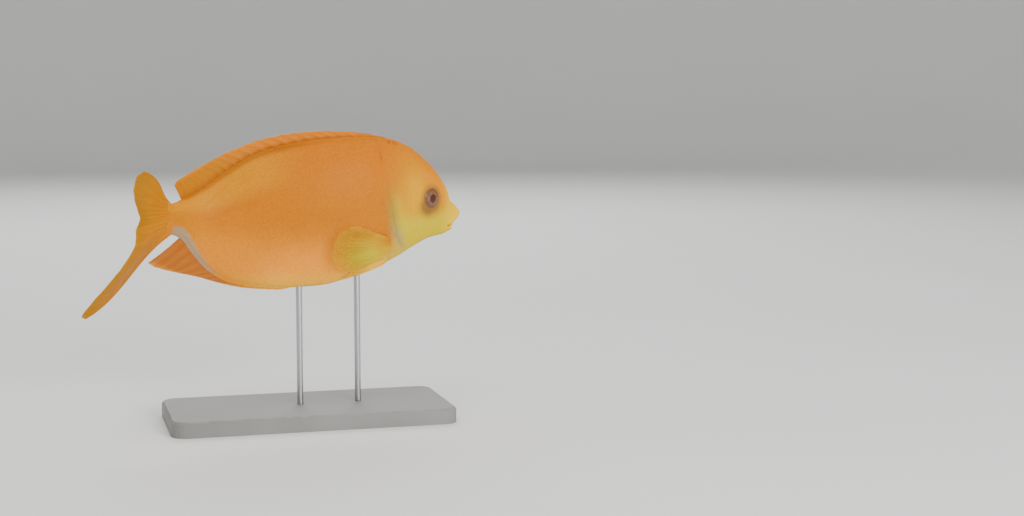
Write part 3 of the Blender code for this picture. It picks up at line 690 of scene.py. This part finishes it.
BACK_ORANGE = (0.56, 0.158, 0)
FLANK_ORANGE = (0.56, 0.17, 0)
BELLY_PINK = (0.99, 0.35, 0.018)
KEEL_CREAM = (0.99, 0.53, 0.03)
STREAK_YELLOW = (0.61, 0.236, 0)
STEM_YELLOW = (0.56, 0.194, 0)
NAPE_YELLOW = (0.6, 0.24, 0)
PATCH_YELLOW = (0.7, 0.345, 0)
BROW_ORANGE = (0.69, 0.24, 0)
CHEEK_LIME = (0.61, 0.465, 0)
LIP_YELLOW = (0.76, 0.46, 0)
COVER_OLIVE = (0.6, 0.43, 0.006)
THROAT_CREAM = (0.66, 0.455, 0.03)
# Colours of the painted shadow along the gill cover's rear edge
GILL_SHADOW_BLUE = (0.38, 0.3, 0.11)
GILL_SHADOW_OLIVE = (0.36, 0.235, 0.03)
GILL_SHADOW_BROWN = (0.4, 0.18, 0.02)
BAND_BLUE = (0.335, 0.275, 0.175)
REAR_PINK = (0.74, 0.245, 0.004)
# Colour of the painted shadow on the back along the dorsal fin's root
FIN_ROOT_SHADOW = (0.3, 0.078, 0)
EYE_DUSK = (0.185, 0.092, 0.03)
# Colour of the painted shade inside the mouth's slit
MOUTH_SHADE = (0.15, 0.065, 0.01)
SPOT_BLUE = (0.36, 0.38, 0.42)
SPOT_RED = (0.36, 0.06, 0.002)

# Marks on the right side, as (share of the length, height, half width, half height, strength)
MARKS = ((0.26, 0.225, 0.01, 0.008, 0.5), (0.28, 0.229, 0.009, 0.007, 0.55),
         (0.3215, 0.186, 0.004, 0.028, 0.38))


def skin_finish():
    """Orange flanks between a deeper back and a pink belly, a yellow-green head, and small scales.

    Each zone is a smooth step on the share of the length or on the level between belly and back,
    whose edges slow noise moves. Scales are cells about a millimetre long, lifted by a bump.
    """
    m = Finish("skin", Coat_Roughness=0.28, Subsurface_Weight=0.12, Subsurface_Scale=0.004,
               Subsurface_Radius=(1, 0.45, 0.2), Specular_IOR_Level=0.03)
    where = m.where()
    slow = m.noise(where, 28, 2) - 0.5
    raw_share, raw_level = m.value("share"), m.value("level")
    share, level = raw_share + slow * 0.03, raw_level + slow * 0.1
    height, ahead = m.value("height"), m.value("ahead")
    off_eye, girth = m.value("eye_off"), m.value("girth")
    high = height.rise(0.02, 0.11)
    head = (ahead + slow * 0.02).rise(-0.018, 0.012) * (1 - high)
    head = head + (ahead + slow * 0.04).rise(-0.05, 0.1) * high

    m.colour = m.mix(FLANK_ORANGE, BACK_ORANGE, level.rise(0.55, 0.92))
    pink = level.fall(0.06, 0.52) * share.rise(0.28, 0.42) * share.fall(0.8, 1)
    m.over(BELLY_PINK, pink)
    m.over(KEEL_CREAM, level.fall(0, 0.15) * share.fall(0.7, 0.92) * 0.85)
    m.over(STEM_YELLOW, share.rise(0.8, 0.95) * level.rise(0.1, 0.4) * 0.8)
    pink = share.rise(0.62, 0.82) * share.fall(0.86, 0.98) * level.fall(0.3, 0.66)
    m.over(REAR_PINK, pink * 0.8)
    streak = share.rise(0.55, 0.72) * level.rise(0.66, 0.82) * level.fall(0.95, 1.03)
    m.over(STREAK_YELLOW, streak * 0.9)
    low = raw_level + slow * 0.04
    taper = raw_share.rise(0.78, 0.98)
    band = (low - taper * taper * 0.27).fall(-0.05, 0.09) * share.rise(0.8, 0.88) * share.fall(0.99, 1.02)
    m.over(BAND_BLUE, band * 0.85)
    # Painted shadow: a dark brown band on the back along the dorsal fin's root
    shaded = raw_level.rise(0.95, 0.99) * share.rise(0.45, 0.65) * share.fall(0.93, 0.98)
    m.over(FIN_ROOT_SHADOW, shaded * 0.55)

    face = m.mix(BROW_ORANGE, NAPE_YELLOW, raw_share.rise(0.13, 0.2))
    face = m.mix(face, CHEEK_LIME, height.fall(-0.045, 0.045) * 0.95)
    face = m.mix(face, LIP_YELLOW, raw_share.fall(0.035, 0.085) * 0.85)
    face = m.mix(face, COVER_OLIVE, ahead.fall(0.008, 0.055) * height.fall(0.04, 0.13) * 0.7)
    patch = share.rise(0.15, 0.2) * share.fall(0.22, 0.28)
    patch = patch * height.rise(-0.03, 0.04) * height.fall(0.09, 0.15)
    face = m.mix(face, PATCH_YELLOW, patch * 0.7)
    face = m.mix(face, BACK_ORANGE, level.rise(0.74, 0.98) * share.rise(0.06, 0.14) * 0.75)
    m.over(face, head * level.fall(0.9, 1.3))
    behind_gill = ahead.rise(-0.055, -0.01) * height.fall(-0.095, -0.055) * share.fall(0.32, 0.36)
    under_fin = share.fall(0.32, 0.44) * height.fall(-0.12, -0.085)
    m.over(THROAT_CREAM, behind_gill * (1 - head) * 0.8)
    m.over(THROAT_CREAM, under_fin * (1 - head) * 0.7)
    # Painted shadow: a grey-blue, olive and brown band along the gill cover's rear edge
    edge = abs(ahead + 0.002 + slow * 0.02).fall(0.002, 0.035)
    edge = edge * height.rise(-0.15, -0.07) * height.fall(0.04, 0.15)
    gill_shadow = m.mix(GILL_SHADOW_BLUE, GILL_SHADOW_OLIVE, height.rise(-0.08, 0.01))
    gill_shadow = m.mix(gill_shadow, GILL_SHADOW_BROWN, height.rise(0.01, 0.08))
    m.over(gill_shadow, edge * (0.8 - height.rise(0, 0.06) * 0.2))

    below = (off_eye + slow * 0.012).fall(0.03, 0.084) * (height + slow * 0.02).fall(-0.01, 0.05)
    m.over(EYE_DUSK, below * 0.75)
    ring = off_eye + slow * 0.01 - height.fall(0, 0.05) * ahead.fall(0.135, 0.165) * 0.012
    m.over(EYE_DUSK, ring.fall(0.031, 0.056) * 0.75)

    along_mm = raw_share * LENGTH_MM
    spots = m.cells(m.point(along_mm, girth * LENGTH_MM), 0.36, 0.9).fall(0.15, 0.27)
    seen = m.noise(where, 60, 1).rise(0.42, 0.56)
    m.over(SPOT_BLUE, spots * seen * 0.045 * off_eye.rise(0.034, 0.04))
    red = m.cells(m.point(along_mm + 3.3, girth * LENGTH_MM), 0.19, 1).fall(0.07, 0.12)
    red = red * share.rise(0.16, 0.22) * share.fall(0.3, 0.36) * level.rise(0.6, 0.8)
    m.over(SPOT_RED, red * 0.5)
    right = girth.fall(-0.002, 0)
    for at, up, wide, tall, strength in MARKS:
        off = ((raw_share - at) * (1 / wide)) ** 2 + ((height - up) * (1 / tall)) ** 2
        mark = (off + m.noise(where, 400) - 0.5).fall(0.1, 1.3)
        m.over(SPOT_RED, mark * right * strength)
    # Painted shade: the mouth's slit darkened by its depth
    m.over(MOUTH_SHADE, m.value("inner").rise(0.15, 0.8) * 0.85)

    fine = m.noise(where, 420, 3)
    m.shade((0.55, 0.55, 0.55), (0.5 - fine) * 0.35 + slow * 0.2)

    scales = m.cells(m.point(along_mm, girth * 360), 1, 0.75)
    scaled = raw_share.rise(0.05, 0.11) * off_eye.rise(0.036, 0.05) * (1 - head * 0.5)
    line = abs(m.value("lateral")).fall(0.0004, 0.002) * raw_share.rise(*LATERAL_START)
    tubes = m.cells(m.point(along_mm, 0), 0.8, 0.2).rise(0.1, 0.5)
    normal = m.bump(1 - scales * scaled, 0.00022, 0.6)
    normal = m.bump(line * tubes, 0.00025, 0.8, normal)
    normal = m.bump(fine, 0.0001, 0.25, normal)
    m.over(COVER_OLIVE, line * 0.15)
    m.shade((0.62, 0.52, 0.5), scales.rise(0.3, 0.62) * scaled * 0.35)
    rough = 0.48 + scales * 0.12 + (fine - 0.5) * 0.15
    return m.done(rough, normal, 0.03 + (fine - 0.5) * 0.04)


def fin_finish(name, base, blade, margin, ray, base_reach=0.22, margin_start=0.75, clear=0, part=None,
               ray_share=0.38):
    """A membrane that goes from base to blade to margin colour, with jointed rays and fine streaks.

    A clear share of the light goes through the web between the rays. A part of the rays, which fades
    in from its first ray number to its second, has a blade colour and a base colour of its own.
    """
    m = Finish(name, Coat_Roughness=0.3, Subsurface_Weight=0.25, Subsurface_Scale=0.003,
               Subsurface_Radius=(1, 0.5, 0.2), Specular_IOR_Level=0.03)
    along, ridge, number = m.value("along"), m.value("ridge"), m.value("ray")
    slow = m.noise(m.where(), 55, 3) - 0.5
    moved = along + slow * 0.25
    if part:
        first, last, tone, low_tone = part
        within = (number + slow * 2 - first) * (1 / (last - first))
        base, blade = m.mix(base, low_tone, within), m.mix(blade, tone, within)
    m.colour = m.mix(base, blade, moved.rise(0, base_reach))
    m.over(margin, moved.rise(margin_start, 1))
    m.over(ray, ridge * ray_share)
    streaks = m.noise(m.point(number * 9, along * 2), 1, 3, 0.6)
    m.shade((0.5, 0.45, 0.4), (0.6 - streaks) * 0.6)
    joints = m.noise(m.point(number * 2, along * 55), 1, 1)
    normal = m.bump(streaks, 0.00015, 0.5)
    normal = m.bump(joints * ridge, 0.00012, 0.5, normal)
    if clear:
        m.feed(m.shader.inputs["Alpha"], 1 - (1 - ridge * 0.15) * along.rise(0.25, 1) * clear)
    return m.done(0.45 + (streaks - 0.5) * 0.3, normal, 0.02 + ridge * 0.04)


def eye_finish():
    """A dark pupil in a thin paler ring, a mauve-brown iris with fine spokes, and a dusky rim, all wet."""
    m = Finish("eye", Coat_Weight=0.2, Coat_Roughness=0.1, Specular_IOR_Level=0.1)
    out, spoke = m.value("radial"), m.value("spoke")
    spokes = m.noise(m.point(spoke * 9, out * 2.5), 1, 4, 0.6)
    m.colour = m.mix((0.134, 0.061, 0.034), (0.222, 0.103, 0.056), spokes.rise(0.3, 0.7))
    m.over((0.085, 0.04, 0.016), out.rise(0.6, 0.9) * 0.6)
    m.over((0.19, 0.09, 0.052), out.fall(0.48, 0.6) * 0.25)
    m.over((0.066, 0.018, 0.01), (out + (spokes - 0.5) * 0.05).fall(0.4, 0.5))
    m.over((0.17, 0.088, 0.02), out.rise(0.9, 1))
    rough = 0.3 + (spokes - 0.5) * 0.2
    return m.done(rough, m.bump(spokes * out.rise(0.5, 0.6), 0.00008, 0.5))


# The fish

def skin_piece():
    points, values = skin_shape()
    rows = HEAD_ROWS + TRUNK_ROWS + SHEATH_ROWS
    last = (rows - 1) * AROUND
    k = np.arange(1, AROUND // 2 - 1)
    cap = last + stacked(k, k + 1, AROUND - k - 1, AROUND - k)
    half = AROUND // 2
    ends = last + np.array([[0, 1, AROUND - 1], [half - 1, half, half + 1]])
    faces = [grid_faces(rows, AROUND, ring=True), cap[:, ::-1], ends[:, ::-1],
             fan_faces(np.arange(AROUND), len(points) - 1)[:, ::-1]]
    make_piece("skin", placed(points), faces, skin_finish(), "skin", ["head", "trunk", "tail_stem"],
               **values)


def eye_piece(name, sign, finish):
    """A turned shape: a low cap with a raised ring at its edge, and a round back sunk in the head."""
    bend = np.linspace(0.1, 1.5, EYE_REAR_ROWS)
    radius = EYE_RADIUS * np.concatenate([np.linspace(0.03, 0.95, EYE_CAP_ROWS), EYE_RING_RADII,
                                          EYE_RING_RADII[-1] * np.cos(bend)])
    radial = radius / EYE_RADIUS
    cap = EYE_RISE - (EYE_RISE - EYE_RIM_OUT) * radial[:EYE_CAP_ROWS] ** 2
    cap = cap + EYE_LENS_RISE * (1 - smooth(radial[:EYE_CAP_ROWS], 0.3, 0.5))
    ring = EYE_RIM_OUT + np.array(EYE_RING_RISES)
    rear = ring[-1] - 0.028 * np.sin(bend)
    out = np.concatenate([cap, ring, rear])[:, None]
    turn = np.linspace(0, 2 * math.pi, EYE_SIDES, endpoint=False)
    along, up = radius[:, None] * np.cos(turn), radius[:, None] * np.sin(turn)
    rings = eye_place(along, out + 0 * along, up, sign).reshape(-1, 3)
    ends = np.array([EYE_RISE + EYE_LENS_RISE, out[-1, 0] - 0.0002])
    places = np.concatenate([rings, eye_place(np.zeros(2), ends, np.zeros(2), sign)])
    count, side_number = len(radius), np.arange(EYE_SIDES)
    faces = [grid_faces(count, EYE_SIDES, ring=True), fan_faces(side_number, len(places) - 2)[:, ::-1],
             fan_faces((count - 1) * EYE_SIDES + side_number, len(places) - 1)]
    behind = np.arange(count) >= len(cap) + len(ring)
    radial = np.concatenate([np.repeat(radial + behind * 0.5, EYE_SIDES), [0, 2]])
    spoke = np.concatenate([np.tile(np.abs(turn / math.pi - 1), count), [0, 0]])
    make_piece(name, placed(in_body(*places.T)), faces, finish, "eye", [name], radial=radial, spoke=spoke)


def fin_piece(name, surface, rays, spines, finish, columns=10, rows=34, foot=-0.05, notch=0.16,
              ray_size=(0.0011, 0.0005), web=(0.00045, 0.00025), scallop=0.012, corner=0):
    """A thin closed fin: two sheets either side of a surface, whose gap is a web and ridges along the rays.

    A spine is one ridge that narrows to a point beyond the web. A soft ray is one ridge that forks
    half way out and again near its tip.
    """
    number = np.linspace(0, rays - 1, (rays - 1) * columns + 1)[:, None]
    nearest = np.round(number)
    beside = np.abs(number - nearest)
    spiny = nearest < spines
    between = np.floor(number) + 1 < spines
    hollow = 1 - np.abs(1 - 2 * (number - np.floor(number))) ** 1.9
    reach = 1 - np.where(between, notch * hollow, scallop * hollow)
    frayed = 0.4 * scallop * (1 + np.sin(number * 7.1) * np.sin(number * 2.3 + 1))
    reach = reach - np.where(between, 0, frayed)
    reach = reach * (1 - corner * smooth(number, rays - 2.2, rays - 1) ** 2)
    pace = np.linspace(0, 1, rows)
    along = foot + (reach - foot) * pace
    fork = np.where(spiny, 0, 0.22 * np.clip((along - 0.42) / 0.58, 0, 1))
    twig = np.where(spiny, 0, 0.1 * np.clip((along - 0.72) / 0.28, 0, 1))
    off = np.abs(np.abs(beside - fork) - twig)
    grown = np.clip(along, 0, 1)
    ridge = bell(off, np.where(spiny, 0.24 - 0.15 * grown, 0.22 - 0.13 * grown))
    crest = np.interp(along, (0, 1), ray_size) * np.where(spiny, 1 - 0.45 * grown ** 4, 1)
    thin = np.interp(along, (0, 1), web)
    thick = thin + (crest - thin) * ridge
    thick = thick * np.where(pace > 0.985, 0.45, 1)
    front = np.minimum(number, rays - 1 - number)
    thick = thick * (0.35 + 0.65 * smooth(front, 0, 0.12))
    middle = surface(number + 0 * along, along)
    face = np.cross(np.gradient(middle, axis=0), np.gradient(middle, axis=1))
    face /= np.linalg.norm(face, axis=2, keepdims=True)
    offset = face * thick[..., None] / 2
    points = np.concatenate([(middle + offset).reshape(-1, 3), (middle - offset).reshape(-1, 3)])
    sheet = grid_faces(len(middle), rows)
    far = len(middle) * rows
    last = far - rows
    rim = np.concatenate([np.arange(0, last, rows), np.arange(last, last + rows - 1),
                          np.arange(last + rows - 1, rows - 1, -rows), np.arange(rows - 1, 0, -1)])
    edge = stacked(rim, rim + far, np.roll(rim, -1) + far, np.roll(rim, -1))
    faces = [sheet, (sheet + far)[:, ::-1], edge]
    make_piece(name, placed(points), faces, finish, "fin", [name], 50,
               along=[along] * 2, ridge=[ridge] * 2, ray=[number + 0 * along] * 2)


skin_piece()
eyes = eye_finish()
eye_piece("eye_left", 1, eyes)
eye_piece("eye_right", -1, eyes)

# The dorsal fin's dark brown base colours are a painted shadow along its root
dorsal_finish = fin_finish("dorsal_membrane", (0.3, 0.08, 0), (0.54, 0.158, 0), (0.56, 0.19, 0),
                           (0.44, 0.124, 0), 0.34, 0.72, ray_share=0.4,
                           part=(11, 15, (0.4, 0.15, 0), (0.32, 0.094, 0)))
anal_finish = fin_finish("anal_membrane", (0.4, 0.112, 0.012), (0.38, 0.12, 0.015), (0.58, 0.245, 0.026),
                         (0.29, 0.084, 0.008), ray_share=0.4,
                         part=(7, 2, (0.8, 0.36, 0.02), (0.86, 0.4, 0.02)))
tail_finish = fin_finish("tail_membrane", STEM_YELLOW, (0.47, 0.186, 0), (0.34, 0.16, 0.004),
                         (0.42, 0.15, 0), 0.55, 0.62, ray_share=0.45,
                         part=(8, 4, (0.4, 0.155, 0.014), (0.5, 0.175, 0.004)))
pectoral_finish = fin_finish("pectoral_membrane", (0.56, 0.19, 0), (0.6, 0.29, 0), (0.62, 0.35, 0),
                             (0.6, 0.3, 0.002), 0.4, clear=0.85, ray_share=0.2,
                             part=(3, 9, (0.6, 0.44, 0), (0.58, 0.33, 0)))
pelvic_finish = fin_finish("pelvic_membrane", (0.92, 0.43, 0.006), (0.95, 0.48, 0.016),
                           (0.96, 0.48, 0.024), (0.96, 0.5, 0.02), clear=0.75)

dorsal = median_surface(DORSAL_ROOTS, (DORSAL_SPINES, DORSAL_SOFT), DORSAL_TIPS, back, 1, 0.001)
fin_piece("dorsal_fin", dorsal, DORSAL_SPINES + DORSAL_SOFT, DORSAL_SPINES, dorsal_finish, foot=-0.12,
          corner=0.16, notch=0.09, ray_size=(0.001, 0.00045))
anal = median_surface(ANAL_ROOTS, (ANAL_SPINES, ANAL_SOFT), ANAL_TIPS, belly, -1, 0.0018)
fin_piece("anal_fin", anal, ANAL_SPINES + ANAL_SOFT, ANAL_SPINES, anal_finish, foot=-0.12, corner=0.05)
fin_piece("caudal_fin", tail_surface, TAIL_RAYS, 0, tail_finish, columns=14, rows=70,
          foot=-0.015, scallop=0.006)
for word, hand in (("left", 1), ("right", -1)):
    fin_piece(f"pectoral_fin_{word}", pectoral_surface(hand), PECTORAL_RAYS, 0, pectoral_finish, rows=44,
              foot=-0.03, ray_size=(0.0008, 0.0003), web=(0.0003, 0.0002))
    fin_piece(f"pelvic_fin_{word}", pelvic_surface(hand), PELVIC_RAYS, 1, pelvic_finish, rows=30)


# The stand, the floor, the light and the camera

def base_finish():
    """Matt mid-grey paint: fine orange-peel, faint clouding, and edges rubbed a little paler."""
    m = Finish("base_paint", Specular_IOR_Level=0.4)
    where = m.where()
    x, y, z = m.parts(where)
    clouds, peel = m.noise(where, 18, 3), m.noise(where, 900, 2)
    m.colour = m.mix(tint(116, 115, 112), tint(128, 127, 124), clouds.rise(0.3, 0.7))
    rubbed = z.rise(*RUBBED_Z) * m.noise(where, 120, 4).rise(0.45, 0.65)
    at_edge = (abs(x).rise(*RUBBED_X) + abs(y).rise(*RUBBED_Y)) * rubbed
    m.over(tint(146, 145, 142), at_edge * 0.5)
    return m.done(0.55 + (clouds - 0.5) * 0.2, m.bump(peel, 0.00006, 0.5))


def rod_finish():
    """Satin steel with fine lines drawn along the rod."""
    m = Finish("rod_steel", Metallic=1)
    where = m.where()
    x, y, z = m.parts(where)
    drawn = m.noise(m.point(x * 2500, y * 2500, z * 60), 1, 3)
    m.colour = m.mix(tint(168, 169, 172), tint(190, 191, 193), drawn)
    return m.done(0.24 + drawn * 0.16, m.bump(drawn, 0.00003, 0.4))


def floor_finish():
    m = Finish("floor_paper", Roughness=0.9, Specular_IOR_Level=0.2)
    m.colour = m.mix(tint(224, 224, 222), tint(230, 230, 229), m.noise(m.where(), 3, 2))
    return m.done()


for node, material in (("stand_base", base_finish()), ("stand_rod_front", rod_finish()),
                       ("stand_rod_back", rod_finish())):
    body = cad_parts[node]
    body.data.materials.clear()
    body.data.materials.append(material)


def studio_floor():
    """A profile turned round Z: a flat floor that curves up into a round wall."""
    bend = np.linspace(0, math.pi / 2, 16)
    radius = FLOOR_RADIUS + FLOOR_CURVE * np.append(np.sin(bend), 1)
    radius = np.concatenate([[0.6, 1.5], radius])
    height = np.concatenate([[0, 0], FLOOR_CURVE - FLOOR_CURVE * np.cos(bend), [WALL_TOP]])
    turn = np.linspace(0, 2 * math.pi, FLOOR_SIDES, endpoint=False)
    radius = radius[:, None]
    points = stacked(radius * np.cos(turn), radius * np.sin(turn), height[:, None] + 0 * turn)
    points = np.concatenate([points.reshape(-1, 3), [[0, 0, 0]]])
    mesh = bpy.data.meshes.new("studio_floor")
    middle = fan_faces(np.arange(FLOOR_SIDES), len(points) - 1)[:, ::-1]
    faces = [*grid_faces(len(radius), FLOOR_SIDES, ring=True).tolist(), *middle.tolist()]
    mesh.from_pydata(points.tolist(), [], faces)
    mesh.shade_smooth()
    mesh.materials.append(floor_finish())
    floor = add("studio_floor", mesh)


def area_light(name, place, aim, width, power):
    lamp = bpy.data.lights.new(name, "AREA")
    lamp.size, lamp.energy = width, power
    light = add(name, lamp)
    light.location = place
    light.rotation_euler = (Vector(aim) - Vector(place)).to_track_quat("-Z", "Y").to_euler()


studio_floor()
area_light("key", (0.7, -1.8, 0.62), (0, 0, 0.12), 0.9, 45)
area_light("top", (-0.3, -0.7, 2), (0, 0, 0.1), 1.4, 22)
area_light("rear", (0.3, 1.8, 1.5), (0, 0, 0.1), 1.4, 30)
area_light("side", (-1.9, 0.6, 1.1), (0, 0, 0.1), 1.2, 10)

world = bpy.data.worlds.new("studio")
world.use_nodes = True
sky = world.node_tree.nodes["Background"].inputs
sky["Color"].default_value, sky["Strength"].default_value = (1, 1, 1, 1), WORLD_STRENGTH
bpy.context.scene.world = world

view_turn, view_lift = math.radians(VIEW_AZIMUTH_DEG), math.radians(VIEW_ELEVATION_DEG)
away = Vector((math.sin(view_turn) * math.cos(view_lift), -math.cos(view_turn) * math.cos(view_lift),
               math.sin(view_lift)))
lens = bpy.data.cameras.new("camera")
lens.lens, lens.sensor_width, lens.clip_start = VIEW_LENS, SENSOR_WIDTH, NEAR_CLIP
camera = add("camera", lens)
camera.location = Vector(VIEW_AIM) + away * VIEW_DISTANCE
camera.rotation_euler = (-away).to_track_quat("-Z", "Y").to_euler()
bpy.context.scene.camera = camera
